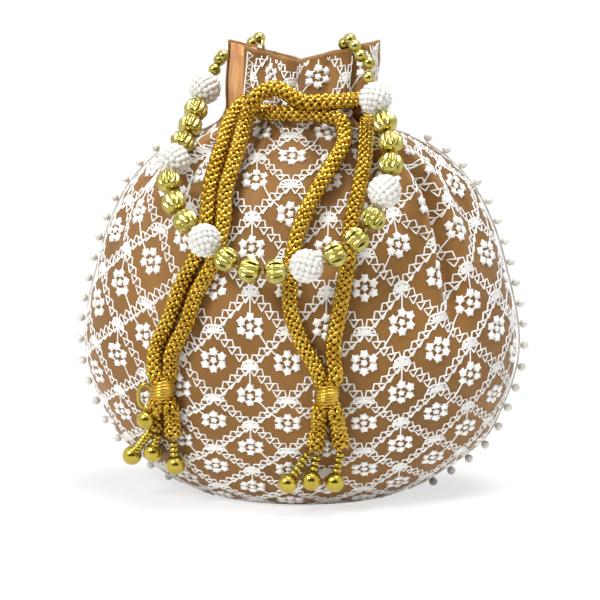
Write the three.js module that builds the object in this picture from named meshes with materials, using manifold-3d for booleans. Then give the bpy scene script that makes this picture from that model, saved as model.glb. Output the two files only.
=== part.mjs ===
// Potli bag: a gathered drawstring pouch with a beaded wrist handle.
// Millimetres, +Z up. The front of the bag faces -Y and the bag stands on z = 0.
import * as THREE from 'three';
import { mergeVertices } from 'three/addons/utils/BufferGeometryUtils.js';
import Module from 'manifold-3d';

const wasm = await Module();
wasm.setup();

// Pouch outline: half width across X and half depth along Y at each height
const baseHalfWidth = 46;
const baseHalfDepth = 38;
const bellyHalfWidth = 101.5;
const bellyHalfDepth = 58;
const bellyHeight = 70;
const shoulderHalfWidth = 82.5;
const shoulderHalfDepth = 42;
const shoulderHeight = 139;
const neckHalfWidth = 34.5;
const neckHalfDepth = 20;
const neckHeight = 180;
const rimHalfWidth = 37;
const rimHalfDepth = 13;
const rimHeight = 202;
const rimCornerLift = 9;

// Cloth
const fabricThickness = 0.9;
const liningThickness = 0.8;
const layerGap = 0.3;
const seamGap = 0.3;
const seamY = 1.5;
const pleatCount = 7;
const pleatDepth = 2.6;
const pleatStartHeight = 112;
const wallSegments = 60;

// Folds over the shoulders, as [degrees from the front, depth, half width in degrees, foot, top]; a ridge has a
// negative depth, and the back has the same folds
const creases = [
  [-66, 4, 6, shoulderHeight - 47, neckHeight - 12],
  [-42, 4.2, 5, shoulderHeight - 27, neckHeight - 12],
  [-24, 4.5, 5, shoulderHeight - 39, neckHeight - 12],
  [-12, 5, 4, shoulderHeight - 7, neckHeight - 8],
  [12, 4.5, 5, shoulderHeight - 11, neckHeight - 10],
  [30, 3.5, 5, shoulderHeight - 21, neckHeight - 12],
  [42, -3.2, 4.5, bellyHeight, neckHeight - 8],
  [48, 6, 4.5, bellyHeight - 10, neckHeight - 8],
  [66, 4, 6, shoulderHeight - 43, neckHeight - 12],
];
const creaseFade = 0.6;
const creaseEnd = 8;
const shoulderRidge = 0.15;
const shoulderRidgeAt = 1.8;

// Side slits above the drawstring, which leave the back lining in view
const slitLeftX = -25;
const slitRightX = 27;
const slitBottom = 173;
const slitBackY = -0.5;
const slitMargin = 10;

// Pearl edging along the side seams
const edgePearlDiameter = 4;
const edgePearlPitch = 9.5;
const edgeCordDiameter = 1.4;
const edgeClearance = 0.7;
const edgePearlOffset = 1.7;
const edgeTopHeight = 163;
const edgeBottomHeight = 6.5;

// Drawstrings
const cordDiameter = 7.4;
const cordClearance = 0.8;
const holeClearance = 0.35;
const ringCentreX = 4;
const ringHalfWidth = 26;
const upperRingHeight = 184;
const lowerRingHeight = 176;
const knotDiameter = 11.2;
const knotGap = 0.4;
const knotLeadLength = 3;
const knotSpread = THREE.MathUtils.degToRad(34);

// Tassels
const tasselBallDiameter = 9;
const rondelleDiameter = 4.4;
const rondelleThickness = 2.5;
const tasselThreadDiameter = 1;
const tasselGap = 0.6;
const charmBallDiameter = 7.6;
const charmRingRadius = 3.2;
const charmHang = 14;

// Handle
const pearlBallDiameter = 15.2;
const goldBeadDiameter = 11.4;
const smallBeadDiameter = 5.6;
const beadGap = 0.6;
const threadDiameter = 1.5;
const boreClearance = 0.6;
const ballCount = 6;
const goldBeadsBetweenBalls = 3;
const smallBeadsPerEnd = 1;
const handleSlack = 2.778;
const hangLimits = [0.5, 2];
const hangTries = 30;

const cordRadius = cordDiameter / 2;
const knotRadius = knotDiameter / 2;
const threadRadius = threadDiameter / 2;
const boreRadius = threadRadius + boreClearance;

const widthProfile = [
  [0, baseHalfWidth],
  [8, baseHalfWidth + 18],
  [31, bellyHalfWidth - 11.5],
  [bellyHeight, bellyHalfWidth],
  [bellyHeight + 40, bellyHalfWidth - 7.5],
  [shoulderHeight, shoulderHalfWidth],
  [shoulderHeight + 16, shoulderHalfWidth - 13.5],
  [neckHeight - 15, neckHalfWidth + 19.5],
  [neckHeight - 7, neckHalfWidth + 3.5],
  [neckHeight, neckHalfWidth],
  [rimHeight, rimHalfWidth],
];
const depthProfile = [
  [0, baseHalfDepth],
  [8, baseHalfDepth + 8],
  [31, bellyHalfDepth - 4],
  [bellyHeight, bellyHalfDepth],
  [bellyHeight + 36, bellyHalfDepth - 5],
  [shoulderHeight, shoulderHalfDepth],
  [shoulderHeight + 16, shoulderHalfDepth - 8],
  [neckHeight - 15, neckHalfDepth + 8],
  [neckHeight - 7, neckHalfDepth + 2],
  [neckHeight, neckHalfDepth],
  [rimHeight, rimHalfDepth],
];

// Cord routes over the front, as [x, z, extra lift off the cloth], from the knot upward
const leftKnotAt = [-57.5, 56];
const rightKnotAt = [17.5, 57];
const leftInnerRoute = [
  [-53.6, 72, 0], [-47.6, 86, 0], [-43.4, 99, 0], [-36.6, 112, 0], [-33.6, 121, 0], [-31.6, 132, 0],
  [-31.2, 144, 0], [-28.4, 156, 0], [-25.6, 166, 1], [-22.6, 177, 3], [-17.5, 186, 5], [-9, 190, 3],
];
const leftSideHole = [-25.5, -15, upperRingHeight - 2];
const leftOuterRoute = [
  [-61.4, 73, 0], [-55.6, 89, 0], [-51.2, 102, 0], [-44.6, 115, 0], [-41.6, 122, 0], [-39.6, 132, 0],
  [-39.2, 144, 0], [-36.4, 157, 0], [-34, 167, 0], [-31.5, 176, 0],
];
const rightInnerRoute = [
  [11.4, 68, 0], [7, 78, 0], [1.5, 92, 0], [0.6, 102, 0], [2.5, 123, 0], [7.2, 137, 0],
  [12.6, 148, 0], [19, 159, 0], [22.6, 167, 0.5], [20.5, 174, 1.5],
];
const rightOuterRoute = [
  [19.6, 70, 0], [20.4, 81, 0], [23.6, 99, 0], [25.9, 115, 0], [26.8, 131, 0], [28.2, 138, 0],
  [30, 146, 0], [32, 159, 0], [32.2, 168, 0],
];
const rightSideHole = [31.5, -13, lowerRingHeight - 1];
const tailRoutes = {
  cord_tail_left_long: [leftKnotAt, [-53.7, 43], [-53.5, 34]],
  cord_tail_left_short: [leftKnotAt, [-61.4, 45, 0.6], [-61.4, 37, 1]],
  cord_tail_right_long: [rightKnotAt, [13.6, 42], [11.8, 31]],
  cord_tail_right_short: [rightKnotAt, [21.8, 42], [23.4, 32]],
};
// Tassel strands: the tail each hangs from, its start across that tail, and its ball's [x, z, lift]
const tasselStrands = {
  tassel_left_1: ['cord_tail_left_short', -1.8, [-75, 21, 8]],
  tassel_left_2: ['cord_tail_left_short', 1.4, [-64, 24, 0.6]],
  tassel_left_3: ['cord_tail_left_long', 0, [-53, 19.5, 1.6]],
  tassel_right_1: ['cord_tail_right_long', -1.8, [-0.5, 15, 3]],
  tassel_right_2: ['cord_tail_right_long', 1.6, [10.2, 16.5, 3]],
  tassel_right_3: ['cord_tail_right_short', 0, [20.5, 15.5, 3]],
};

// Handle route, as [x, distance in front of the pouch, z], from the left pivot to the right pivot
const handleRoute = [
  [-38.7, -12.7, rimHeight - 1.9], [-42.4, -11.2, rimHeight - 7.8], [-47, -4.4, 183], [-50.6, 14.6, 167.4], [-55.4, 18.2, 154.6],
  [-52, 18.9, 139.8], [-37, 21, 125.4], [-18, 19.8, 113], [7.9, 18.8, 114.4], [31.7, 20.4, 127.1],
  [42.6, 23.8, 147.4], [44.2, 27.8, 166.6], [37, 23.2, 183.5], [32.8, 16.7, rimHeight - 7.5],
  [32.9, 14.5, rimHeight - 3.9],
];
// The string's fixed ends: from the lining over the rim to the bead that the handle swings from
const leftAnchorRoute = [
  [-17.5, 10.9, rimHeight - 2], [-17.8, 9.9, rimHeight + 4.5], [-19.6, 12, rimHeight + 9.2],
  [-23, 15.8, rimHeight + 7.4], [-30, 16.2, rimHeight + 3], [-37.2, 11.2, rimHeight + 1],
];
const rightAnchorRoute = [
  [20, -7.4, rimHeight - 2], [20.4, -7.2, rimHeight + 5], [22.3, -8.8, rimHeight + 9.4],
  [25, -13, rimHeight + 8.5], [28.4, -17, rimHeight + 2.9], [33, -18.9, rimHeight - 1],
];
const leftAnchorBeads = 4;
const rightAnchorBeads = 4;

const materials = {
  fabric: new THREE.MeshStandardMaterial({ color: '#a8773c', roughness: 0.55, metalness: 0 }),
  satin: new THREE.MeshStandardMaterial({ color: '#d99a5c', roughness: 0.4, metalness: 0 }),
  braid: new THREE.MeshStandardMaterial({ color: '#c79a2c', roughness: 0.4, metalness: 0.6 }),
  gold: new THREE.MeshStandardMaterial({ color: '#c2ae48', roughness: 0.25, metalness: 0.8 }),
  pearl: new THREE.MeshStandardMaterial({ color: '#f1efe6', roughness: 0.3, metalness: 0 }),
  thread: new THREE.MeshStandardMaterial({ color: '#c8b070', roughness: 0.6, metalness: 0 }),
};

const bag = new THREE.Group();
const pouch = new THREE.Group();
const drawstrings = new THREE.Group();
const handle = new THREE.Group();
bag.add(pouch, drawstrings, handle);

function addMesh(group, name, geometry, material) {
  const mesh = new THREE.Mesh(geometry, material);
  mesh.name = name;
  group.add(mesh);
  return mesh;
}

// Puts a piece turned about +Y at a place, with its axis along a direction
function placeAlong(mesh, place, direction) {
  mesh.position.copy(place);
  mesh.quaternion.setFromUnitVectors(new THREE.Vector3(0, 1, 0), direction);
}

// A smooth curve through [height, size] points that never overshoots them
function profileAt(points, height) {
  const last = points.length - 1;
  const z = THREE.MathUtils.clamp(height, points[0][0], points[last][0]);
  let i = 0;
  while (i < last - 1 && z > points[i + 1][0]) i += 1;
  const slope = (k) => (points[k + 1][1] - points[k][1]) / (points[k + 1][0] - points[k][0]);
  const tangent = (k) => {
    if (k === 0) return slope(0);
    if (k === last) return slope(last - 1);
    const below = slope(k - 1);
    const above = slope(k);
    return below * above <= 0 ? 0 : (2 * below * above) / (below + above);
  };
  const span = points[i + 1][0] - points[i][0];
  const t = (z - points[i][0]) / span;
  const rise = points[i + 1][1] - points[i][1];
  const blend = t * t * (3 - 2 * t);
  return points[i][1] + rise * blend
    + span * (tangent(i) * t * (1 - t) ** 2 - tangent(i + 1) * t * t * (1 - t));
}

const halfWidth = (z) => profileAt(widthProfile, z);
const halfDepth = (z) => profileAt(depthProfile, z);
const pleatAt = (z) => pleatDepth * THREE.MathUtils.smoothstep(z, pleatStartHeight, neckHeight - 6);

// How far the folds push the wall out at an angle and a height, with none at the side seams
function foldAt(angle, z) {
  const across = THREE.MathUtils.euclideanModulo(THREE.MathUtils.radToDeg(angle) + 90, 180) - 90;
  const hold = Math.sqrt(Math.abs(Math.cos(angle)));
  return creases.reduce((sum, [place, depth, spread, foot, top]) => {
    const away = Math.abs(across - place) / spread;
    const share = THREE.MathUtils.smoothstep(z, foot, foot + creaseFade * (top - foot))
      * (1 - THREE.MathUtils.smoothstep(z, top, top + creaseEnd));
    const shape = shoulderRidge * Math.exp(-((away - shoulderRidgeAt) ** 2)) - Math.exp(-(away ** 2));
    return sum + hold * depth * share * shape;
  }, 0);
}

// A point on the pouch wall: angle 0 faces the front, 90 degrees is the right seam
function pouchPoint(angle, z, inset) {
  const pleat = pleatAt(z) * Math.cos(pleatCount * angle) + foldAt(angle, z) - inset;
  return new THREE.Vector3(
    (halfWidth(z) + pleat) * Math.sin(angle),
    -(halfDepth(z) + pleat) * Math.cos(angle),
    z,
  );
}

// The pouch's front without its pleats
function frontY(x, z) {
  const share = Math.min(Math.abs(x) / halfWidth(z), 0.98);
  return -halfDepth(z) * Math.sqrt(1 - share * share);
}

const overFront = ([x, z, lift = 0], radius) =>
  new THREE.Vector3(x, frontY(x, z) - pleatAt(z) - cordClearance - radius - lift, z);

// Manifold solids
function toSolid(geometry) {
  const bare = geometry.clone();
  bare.deleteAttribute('normal');
  bare.deleteAttribute('uv');
  const merged = mergeVertices(bare, 1e-4);
  const triangles = [];
  const index = merged.index.array;
  for (let i = 0; i < index.length; i += 3) {
    const [a, b, c] = [index[i], index[i + 1], index[i + 2]];
    if (a !== b && b !== c && c !== a) triangles.push(a, b, c);
  }
  const build = (order) => new wasm.Manifold(new wasm.Mesh({
    numProp: 3,
    vertProperties: new Float32Array(merged.attributes.position.array),
    triVerts: new Uint32Array(order),
  }));
  const solid = build(triangles);
  if (solid.volume() >= 0) return solid;
  return build(triangles.reverse());
}

function toGeometry(solid) {
  const mesh = solid.getMesh();
  const geometry = new THREE.BufferGeometry();
  geometry.setAttribute('position', new THREE.BufferAttribute(new Float32Array(mesh.vertProperties), 3));
  geometry.setIndex(new THREE.BufferAttribute(new Uint32Array(mesh.triVerts), 1));
  geometry.computeVertexNormals();
  return geometry;
}

function tube(path, radius, sides, steps) {
  const section = new THREE.Shape();
  for (let k = 0; k < sides; k += 1) {
    const turn = (2 * Math.PI * k) / sides;
    const point = [radius * Math.cos(turn), radius * Math.sin(turn)];
    if (k === 0) section.moveTo(...point);
    else section.lineTo(...point);
  }
  section.closePath();
  const along = { steps, curveSegments: 1, bevelEnabled: false, extrudePath: path };
  return new THREE.ExtrudeGeometry(section, along);
}

const curveThrough = (points) => new THREE.CatmullRomCurve3(points, false, 'centripetal');

const turned = (profile, sides) =>
  new THREE.LatheGeometry(profile.map(([r, h]) => new THREE.Vector2(r, h)), sides);

function ballProfile(radius, rings) {
  const profile = [];
  for (let k = 0; k <= rings; k += 1) {
    const turn = Math.PI * (k / rings - 0.5);
    profile.push([k % rings === 0 ? 0 : radius * Math.cos(turn), radius * Math.sin(turn)]);
  }
  return profile;
}

function boredBallProfile(radius, rings) {
  const profile = [];
  const edge = Math.asin(boreRadius / radius);
  for (let k = 0; k <= rings; k += 1) {
    const turn = (Math.PI - 2 * edge) * (k / rings - 0.5);
    profile.push([radius * Math.cos(turn), radius * Math.sin(turn)]);
  }
  profile.push(profile[0]);
  return profile;
}

// Pouch shells
const rowHeights = [0, 6, 20, 44, 74, 104, 128, 146, 159, 169, neckHeight];
const rimAt = (angle) => rimHeight + rimCornerLift * Math.abs(Math.sin(angle));

function wallHeight(row, angle, inset) {
  return row < rowHeights.length ? Math.max(rowHeights[row], inset) : rimAt(angle);
}

// A closed wall between two insets: its first face goes up from the base, its second comes down
function shell(firstInset, secondInset) {
  const rows = rowHeights.length + 1;
  const stations = [{ row: -1, inset: firstInset }];
  for (let row = 0; row < rows; row += 1) stations.push({ row, inset: firstInset });
  for (let row = rows - 1; row >= 0; row -= 1) stations.push({ row, inset: secondInset });
  stations.push({ row: -1, inset: secondInset });
  const outline = stations.map((station, k) => new THREE.Vector2(station.row < 0 ? 0 : 1, k));
  const geometry = new THREE.LatheGeometry(outline, wallSegments);
  const position = geometry.attributes.position;
  for (let k = 0; k <= wallSegments; k += 1) {
    const angle = (2 * Math.PI * (k % wallSegments)) / wallSegments;
    stations.forEach(({ row, inset }, j) => {
      const point = row < 0
        ? new THREE.Vector3(0, 0, inset)
        : pouchPoint(angle, wallHeight(row, angle, inset), inset);
      position.setXYZ(k * stations.length + j, point.x, point.y, point.z);
    });
  }
  // The second face comes down, so its quads are split the other way to lie parallel to the first face's
  const bands = stations.length - 1;
  for (let k = 0; k < wallSegments; k += 1) {
    for (let j = rows + 1; j < bands; j += 1) {
      const corner = k * stations.length + j;
      const beside = corner + stations.length;
      const split = [corner, beside, beside + 1, corner, beside + 1, corner + 1];
      geometry.index.array.set(split, 6 * (k * bands + j));
    }
  }
  return toSolid(geometry);
}

// Drawstring paths: up from the knot, once round the neck, and down to the knot again
const ringHalfDepth = neckHalfDepth + pleatDepth + cordRadius + cordClearance;

function ringPoint(degrees, z) {
  const turn = THREE.MathUtils.degToRad(degrees);
  return new THREE.Vector3(
    ringCentreX + ringHalfWidth * Math.sin(turn),
    -ringHalfDepth * Math.cos(turn),
    z,
  );
}

const knotCentre = (at) => overFront(at, knotRadius);

// The two points that lead a cord straight out of its knot
function knotLead(at, angle) {
  const outward = new THREE.Vector3(Math.sin(angle), 0, Math.cos(angle));
  const near = knotRadius + knotGap;
  return [near, near + knotLeadLength].map((reach) => knotCentre(at).addScaledVector(outward, reach));
}

const onRoute = (route) => route.map((point) => overFront(point, cordRadius));
const ringTurns = (from, to, step, z) => {
  const points = [];
  for (let turn = from; Math.sign(step) * (to - turn) >= 0; turn += step) points.push(ringPoint(turn, z));
  return points;
};

const leftCordPath = curveThrough([
  ...knotLead(leftKnotAt, knotSpread),
  ...onRoute(leftInnerRoute),
  ...ringTurns(0, 280, 20, upperRingHeight),
  new THREE.Vector3(...leftSideHole),
  ...onRoute(leftOuterRoute).reverse(),
  ...knotLead(leftKnotAt, -knotSpread).reverse(),
]);
const rightCordPath = curveThrough([
  ...knotLead(rightKnotAt, -knotSpread),
  ...onRoute(rightInnerRoute),
  ...ringTurns(10, -270, -20, lowerRingHeight),
  new THREE.Vector3(...rightSideHole),
  ...onRoute(rightOuterRoute).reverse(),
  ...knotLead(rightKnotAt, knotSpread).reverse(),
]);

const cordSteps = 38;
const cordSides = 8;
const tailSteps = 4;
const cords = { draw_cord_left: leftCordPath, draw_cord_right: rightCordPath };
let cordHoles = null;
Object.entries(cords).forEach(([name, path]) => {
  addMesh(drawstrings, name, tube(path, cordRadius, cordSides, cordSteps), materials.braid);
  const hole = toSolid(tube(path, cordRadius + holeClearance, cordSides, cordSteps));
  cordHoles = cordHoles ? cordHoles.add(hole) : hole;
});

// Slits: everything outside them at the sides of the front header is cut away
function slitBlock(fromX, toX) {
  const tall = rimHeight + rimCornerLift - slitBottom + slitMargin;
  const deep = neckHalfDepth + pleatDepth + slitMargin;
  const block = new THREE.BoxGeometry(toX - fromX, deep, tall);
  block.translate((fromX + toX) / 2, slitBackY - deep / 2, slitBottom + tall / 2);
  return toSolid(block);
}
const slitReach = rimHalfWidth + pleatDepth + slitMargin;
const slits = slitBlock(-slitReach, slitLeftX).add(slitBlock(slitRightX, slitReach));

const outerShell = shell(0, fabricThickness).subtract(cordHoles);
const frontPanel = outerShell.trimByPlane([0, -1, 0], -seamY + seamGap / 2).subtract(slits);
const backPanel = outerShell.trimByPlane([0, 1, 0], seamY + seamGap / 2);
const liningInset = fabricThickness + layerGap;
const lining = shell(liningInset + liningThickness, liningInset).subtract(cordHoles).subtract(slits);
addMesh(pouch, 'front_panel', toGeometry(frontPanel), materials.fabric);
addMesh(pouch, 'back_panel', toGeometry(backPanel), materials.fabric);
addMesh(pouch, 'satin_lining', toGeometry(lining), materials.satin);

// Pearl edging: a thin cord beside each seam with pearls fused to it
function pearlEdging(side) {
  const cordReach = edgeClearance + edgeCordDiameter / 2;
  const seamPoint = (z, reach) => {
    const slope = (halfWidth(z + 1) - halfWidth(z - 1)) / 2;
    const outward = new THREE.Vector3(1, 0, -slope).normalize();
    const wall = halfWidth(z) + pleatAt(z) * Math.cos(pleatCount * (Math.PI / 2));
    return new THREE.Vector3(side * (wall + outward.x * reach), seamY, z + outward.z * reach);
  };
  const stops = 15;
  const points = [];
  for (let k = 0; k <= stops; k += 1) {
    const z = edgeBottomHeight + ((edgeTopHeight - edgeBottomHeight) * k) / stops;
    points.push(seamPoint(z, cordReach));
  }
  const path = curveThrough(points);
  let solid = toSolid(tube(path, edgeCordDiameter / 2, 3, stops));
  const pearlCount = Math.floor(path.getLength() / edgePearlPitch);
  for (let k = 0; k <= pearlCount; k += 1) {
    const at = path.getPointAt(k / pearlCount);
    const along = path.getTangentAt(k / pearlCount);
    const out = new THREE.Vector3(side * Math.abs(along.z), 0, -side * along.x * Math.sign(along.z));
    const place = at.addScaledVector(out, edgePearlOffset);
    const pearl = toSolid(new THREE.IcosahedronGeometry(edgePearlDiameter / 2, 0));
    solid = solid.add(pearl.translate([place.x, place.y, place.z]));
  }
  return toGeometry(solid);
}
addMesh(pouch, 'pearl_edging_left', pearlEdging(-1), materials.pearl);
addMesh(pouch, 'pearl_edging_right', pearlEdging(1), materials.pearl);

// Knots and the cord tails below them
const down = new THREE.Vector3(0, 0, -1);
function addKnot(name, at) {
  const ball = addMesh(drawstrings, name, turned(ballProfile(knotRadius, 6), 8), materials.braid);
  placeAlong(ball, knotCentre(at), down);
}
addKnot('knot_left', leftKnotAt);
addKnot('knot_right', rightKnotAt);

const tailEnds = {};
Object.entries(tailRoutes).forEach(([name, [at, ...route]]) => {
  const side = Math.sign(route[0][0] - at[0]);
  const points = [...knotLead(at, Math.PI - side * knotSpread), ...onRoute(route)];
  const path = curveThrough(points);
  addMesh(drawstrings, name, tube(path, cordRadius, cordSides, tailSteps), materials.braid);
  tailEnds[name] = points[points.length - 1];
});

// Tassel strands: a thread with rondelles and a ball at its end
function strandProfile(length) {
  const threadRadiusHere = tasselThreadDiameter / 2;
  const ballRadius = tasselBallDiameter / 2;
  const ballTop = length - ballRadius;
  const profile = [[0, 0], [threadRadiusHere, 0]];
  const count = Math.floor((ballTop - rondelleThickness) / rondelleThickness);
  for (let k = 0; k < count; k += 1) {
    const from = ballTop - (count - k) * rondelleThickness;
    profile.push([threadRadiusHere, from], [rondelleDiameter / 2, from + rondelleThickness / 2]);
  }
  profile.push([threadRadiusHere, ballTop]);
  ballProfile(ballRadius, 5).slice(1).forEach(([r, h]) => profile.push([r, length + h]));
  return profile;
}
Object.entries(tasselStrands).forEach(([name, [tail, across, ball]]) => {
  const start = tailEnds[tail].clone();
  start.x += across;
  start.z -= tasselGap;
  const end = overFront(ball, tasselBallDiameter / 2);
  const direction = end.clone().sub(start);
  const length = direction.length();
  const strand = addMesh(drawstrings, name, turned(strandProfile(length), 5), materials.gold);
  placeAlong(strand, start, direction.normalize());
});

// Loop charm beside the left knot: a thread ring with a ball on a thread, made hanging down along -Y
function loopCharm() {
  const charmThreadRadius = tasselThreadDiameter / 2;
  const ring = new THREE.TorusGeometry(charmRingRadius, charmThreadRadius, 4, 10);
  const ball = turned(ballProfile(charmBallDiameter / 2, 6), 8);
  ball.translate(0, -charmHang, 0);
  const cord = new THREE.CylinderGeometry(charmThreadRadius, charmThreadRadius, charmHang - charmRingRadius, 6);
  cord.translate(0, -(charmHang + charmRingRadius) / 2, 0);
  return toGeometry(toSolid(ring).add(toSolid(ball)).add(toSolid(cord)));
}
const charm = addMesh(drawstrings, 'tassel_loop_charm', loopCharm(), materials.gold);
const charmReach = knotRadius + knotGap + charmRingRadius + tasselThreadDiameter / 2;
charm.position.copy(knotCentre(leftKnotAt));
charm.position.x -= charmReach;
charm.rotation.x = Math.PI / 2;

// Handle: a thread with beads along it, from rim to rim
const beadOrder = [];
for (let k = 0; k < smallBeadsPerEnd; k += 1) beadOrder.push('small');
for (let ball = 0; ball < ballCount; ball += 1) {
  beadOrder.push('ball');
  const golds = ball < ballCount - 1 ? goldBeadsBetweenBalls : 0;
  for (let k = 0; k < golds; k += 1) beadOrder.push('gold');
}
for (let k = 0; k < smallBeadsPerEnd; k += 1) beadOrder.push('small');

const beadKinds = {
  small: { name: 'small_bead', diameter: smallBeadDiameter, sides: 6, rings: 3, material: materials.gold },
  ball: { name: 'pearl_ball', diameter: pearlBallDiameter, sides: 8, rings: 5, material: materials.pearl },
  gold: { name: 'gold_bead', diameter: goldBeadDiameter, sides: 7, rings: 4, material: materials.gold },
};
const boredLength = (kind) => Math.sqrt(kind.diameter ** 2 - 4 * boreRadius ** 2);
const strungLength = beadOrder.reduce((sum, kind) => sum + boredLength(beadKinds[kind]) + beadGap, 0);
// The loop hangs lower or higher below its ends until its length takes the beads
const handleEnd = handleRoute[0][2];
const hangPath = (drop) => curveThrough(handleRoute.map(([x, standoff, z]) => {
  const height = handleEnd - drop * (handleEnd - z);
  return new THREE.Vector3(x, frontY(x, height) - standoff, height);
}));
let [highDrop, lowDrop] = hangLimits;
for (let k = 0; k < hangTries; k += 1) {
  const drop = (highDrop + lowDrop) / 2;
  if (hangPath(drop).getLength() < strungLength + handleSlack) highDrop = drop;
  else lowDrop = drop;
}
const handlePath = hangPath((highDrop + lowDrop) / 2);
const handleLength = handlePath.getLength();
addMesh(handle, 'handle_thread', tube(handlePath, threadRadius, 4, 40), materials.thread);

const counts = { small: 0, ball: 0, gold: 0 };
let along = (handleLength - strungLength) / 2;
beadOrder.forEach((key) => {
  const kind = beadKinds[key];
  const length = boredLength(kind);
  const from = handlePath.getPointAt((along + beadGap / 2) / handleLength);
  const to = handlePath.getPointAt((along + beadGap / 2 + length) / handleLength);
  const middle = handlePath.getPointAt((along + beadGap / 2 + length / 2) / handleLength);
  const centre = from.clone().add(to).add(middle.multiplyScalar(2)).divideScalar(4);
  const profile = boredBallProfile(kind.diameter / 2, kind.rings);
  const direction = to.sub(from).normalize();
  counts[key] += 1;
  const label = `handle_${kind.name}_${String(counts[key]).padStart(2, '0')}`;
  const bead = addMesh(handle, label, turned(profile, kind.sides), kind.material);
  placeAlong(bead, centre, direction);
  along += length + beadGap;
});

// Handle anchors: the string's ends, which go over the rim into the mouth and stay with the bag
function anchor(route, beads) {
  const path = curveThrough(route.map((point) => new THREE.Vector3(...point)));
  let solid = toSolid(tube(path, threadRadius, 4, 12));
  const length = path.getLength();
  for (let k = 0; k < beads; k += 1) {
    const back = k * (smallBeadDiameter + beadGap);
    const bead = toSolid(new THREE.IcosahedronGeometry(smallBeadDiameter / 2, 0));
    const place = path.getPointAt(1 - back / length);
    solid = solid.add(bead.translate([place.x, place.y, place.z]));
  }
  return toGeometry(solid);
}
addMesh(pouch, 'handle_anchor_left', anchor(leftAnchorRoute, leftAnchorBeads), materials.gold);
addMesh(pouch, 'handle_anchor_right', anchor(rightAnchorRoute, rightAnchorBeads), materials.gold);

export default bag;
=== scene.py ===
# Potli bag: cloth, embroidery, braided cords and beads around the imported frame, in metres
import math
import bmesh
import bpy
import numpy as np
from mathutils import Matrix, Vector


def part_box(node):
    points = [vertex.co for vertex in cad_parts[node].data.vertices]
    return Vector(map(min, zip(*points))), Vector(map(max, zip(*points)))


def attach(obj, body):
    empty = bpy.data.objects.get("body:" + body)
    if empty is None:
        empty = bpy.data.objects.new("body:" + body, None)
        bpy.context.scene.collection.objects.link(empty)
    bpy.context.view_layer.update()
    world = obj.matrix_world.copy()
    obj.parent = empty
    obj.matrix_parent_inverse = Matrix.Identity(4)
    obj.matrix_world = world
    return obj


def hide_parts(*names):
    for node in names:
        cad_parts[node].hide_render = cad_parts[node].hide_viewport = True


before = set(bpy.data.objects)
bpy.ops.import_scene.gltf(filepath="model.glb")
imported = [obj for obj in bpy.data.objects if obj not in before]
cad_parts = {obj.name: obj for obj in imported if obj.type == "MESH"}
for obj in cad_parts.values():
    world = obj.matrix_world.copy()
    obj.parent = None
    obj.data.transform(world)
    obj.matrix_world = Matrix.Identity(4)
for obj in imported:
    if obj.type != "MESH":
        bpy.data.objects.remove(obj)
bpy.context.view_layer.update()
scene = bpy.context.scene
scene.view_settings.view_transform = "Standard"
mm = 0.001
rng = np.random.default_rng(11)
print("frame loaded")

# camera and studio
studio = {
    "azimuth": 5.0,
    "elevation": 8.5,
    "distance": 1.0,
    "lens": 127.66,
    "sensor": 36,
    "nearClip": 0.01,
    "target": (0, 0, 0.0895),
    "white": (1, 1, 1, 1),
    "skyTone": (0.95, 0.97, 1, 1),
    "skyLight": 0.22,
    "floorSize": 6.0,
    "floorTone": (0.93, 0.93, 0.93, 1),
    # the floor's glow grows away from the bag, so the shadow stays near it and the far floor is white
    "nearGlow": 0.66,
    "farGlow": 0.98,
    "glowFrom": 0.12,
    "glowTo": 0.7,
    "glowStrength": 1.05,
    "card": {"place": (0.1, -1.5, 0.4), "wide": 2.6, "tall": 1.5, "tone": (0.03, 0.025, 0.02, 1)},
    "lamps": {
        "key": {"place": (-0.85, -1.05, 1.16), "size": 0.5, "power": 18.5},
        "fill": {"place": (1.1, -0.9, 0.9), "size": 1.0, "power": 0.3},
        "top": {"place": (0.25, -0.05, 1.4), "size": 0.8, "power": 22},
    },
}


def toMesh(bm, name):
    mesh = bpy.data.meshes.new(name)
    bm.to_mesh(mesh)
    bm.free()
    return mesh


def setSockets(node, values):
    for socket, value in values.items():
        node.inputs[socket].default_value = value


def newNode(nodes, kind, values=None):
    node = nodes.new("ShaderNode" + kind)
    setSockets(node, values or {})
    return node


def mathNode(nodes, operation):
    node = newNode(nodes, "Math")
    node.operation = operation
    return node


def emptyTree(holder):
    holder.use_nodes = True
    holder.node_tree.nodes.clear()
    return holder.node_tree.nodes, holder.node_tree.links


def addToStage(name, data, place=None):  # a camera or lamp at a place faces the bag
    thing = bpy.data.objects.new(name, data)
    if place is not None:
        thing.location = place
        thing.rotation_mode = "QUATERNION"
        thing.rotation_quaternion = (Vector(studio["target"]) - Vector(place)).to_track_quat("-Z", "Y")
    scene.collection.objects.link(thing)
    return thing


def makeCamera():
    turn = math.radians(studio["azimuth"])
    rise = math.radians(studio["elevation"])
    back = Vector((math.sin(turn) * math.cos(rise), -math.cos(turn) * math.cos(rise), math.sin(rise)))
    data = bpy.data.cameras.new("camera")
    data.lens = studio["lens"]
    data.sensor_width = studio["sensor"]
    data.clip_start = studio["nearClip"]
    scene.camera = addToStage("camera", data, Vector(studio["target"]) + back * studio["distance"])


def makeLamps():
    for name, lamp in studio["lamps"].items():
        light = bpy.data.lights.new(name, "AREA")
        light.size = lamp["size"]
        light.energy = lamp["power"]
        addToStage(name, light, lamp["place"])


def shownToViewer(nodes, links):  # 1 where the camera or a mirror sees the backdrop
    path = newNode(nodes, "LightPath")
    first = mathNode(nodes, "MAXIMUM")
    second = mathNode(nodes, "MAXIMUM")
    links.new(path.outputs["Is Camera Ray"], first.inputs[0])
    links.new(path.outputs["Is Glossy Ray"], first.inputs[1])
    links.new(first.outputs[0], second.inputs[0])
    links.new(path.outputs["Is Transmission Ray"], second.inputs[1])
    return second.outputs[0]


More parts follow.
